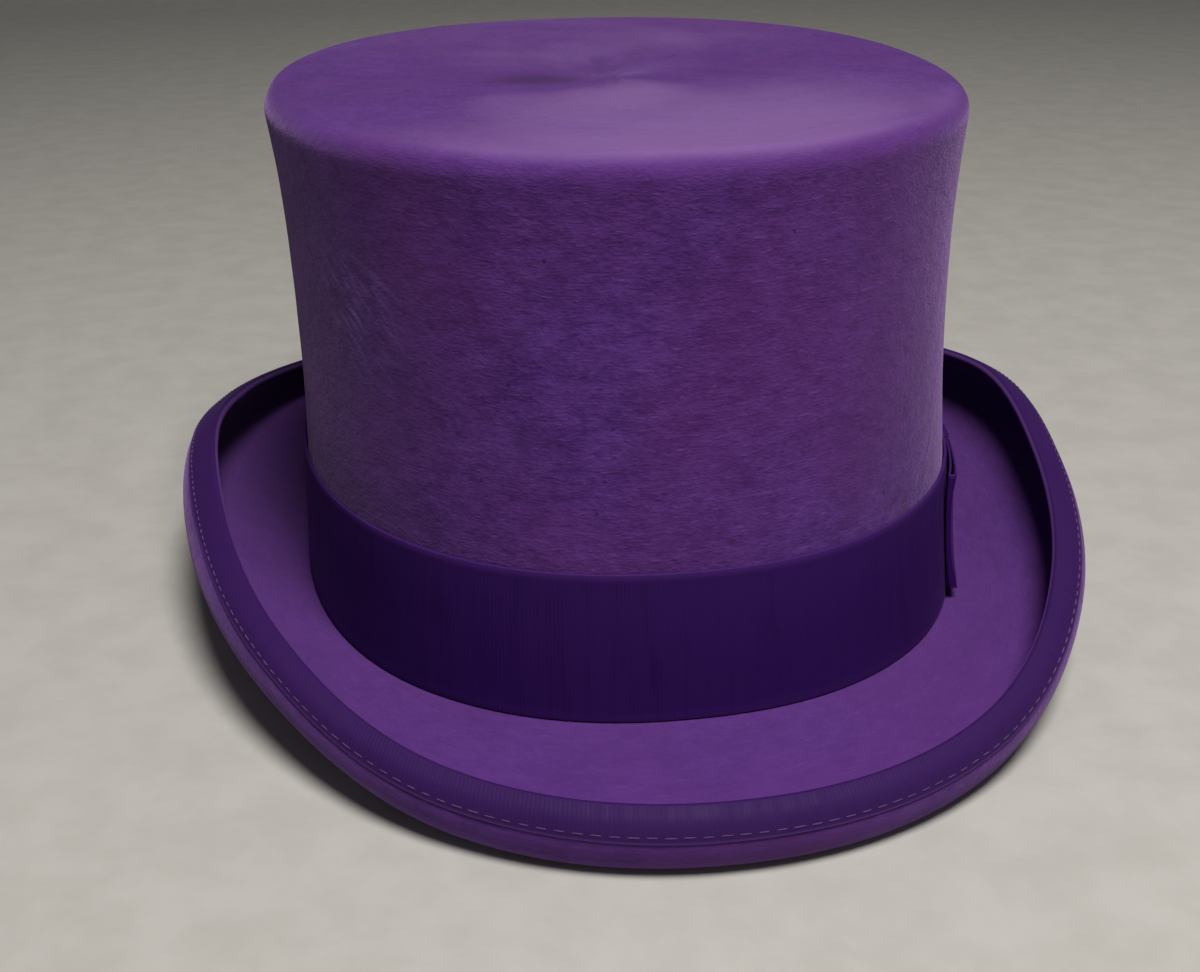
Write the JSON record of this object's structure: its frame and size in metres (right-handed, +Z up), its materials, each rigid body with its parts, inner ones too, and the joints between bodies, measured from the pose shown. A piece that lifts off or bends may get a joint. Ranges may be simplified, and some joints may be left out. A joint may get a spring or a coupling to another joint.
{
  "type": "top hat",
  "caption": "Felt top hat with a flared flat crown, ribbon band and side bow, and a bound brim that curls up at the sides; leather sweatband and satin lining inside.",
  "frame": {"origin": "middle of the hat's footprint, on the surface the brim stands on", "axes": "+Z up through the crown; -Y is the front of the hat; +X is the wearer's left, the side of the bow"},
  "size_m": [0.2344, 0.3134, 0.1296],
  "materials": {
    "felt": "brushed wool felt, soft nap",
    "band_ribbon": "grosgrain ribbon, fine ribs",
    "binding_ribbon": "grosgrain ribbon, folded",
    "thread": "sewing thread",
    "sweatband_leather": "smooth thin leather, semi-matt",
    "reed_plastic": "plain strip",
    "tape_cotton": "woven cotton tape",
    "dark_thread": "sewing thread",
    "satin_ribbon": "satin ribbon",
    "label_paper": "blank woven label",
    "satin_lining": "satin, sheen",
    "clear_film": "clear thin film"
  },
  "bodies": {
    "root": {"felt_body": "felt", "hatband": "band_ribbon", "bow_ribbon": "band_ribbon", "bow_knot": "band_ribbon", "brim_binding": "binding_ribbon", "binding_stitching": "thread", "sweatband": "sweatband_leather", "sweatband_reed": "reed_plastic", "reed_tape": "tape_cotton", "sweatband_stitching": "dark_thread", "sweatband_seam_tape": "tape_cotton", "sweatband_bow": "satin_ribbon", "size_label": "label_paper", "lining_side": "satin_lining", "lining_tip": "satin_lining", "tip_guard": "clear_film"}
  },
  "joints": []
}
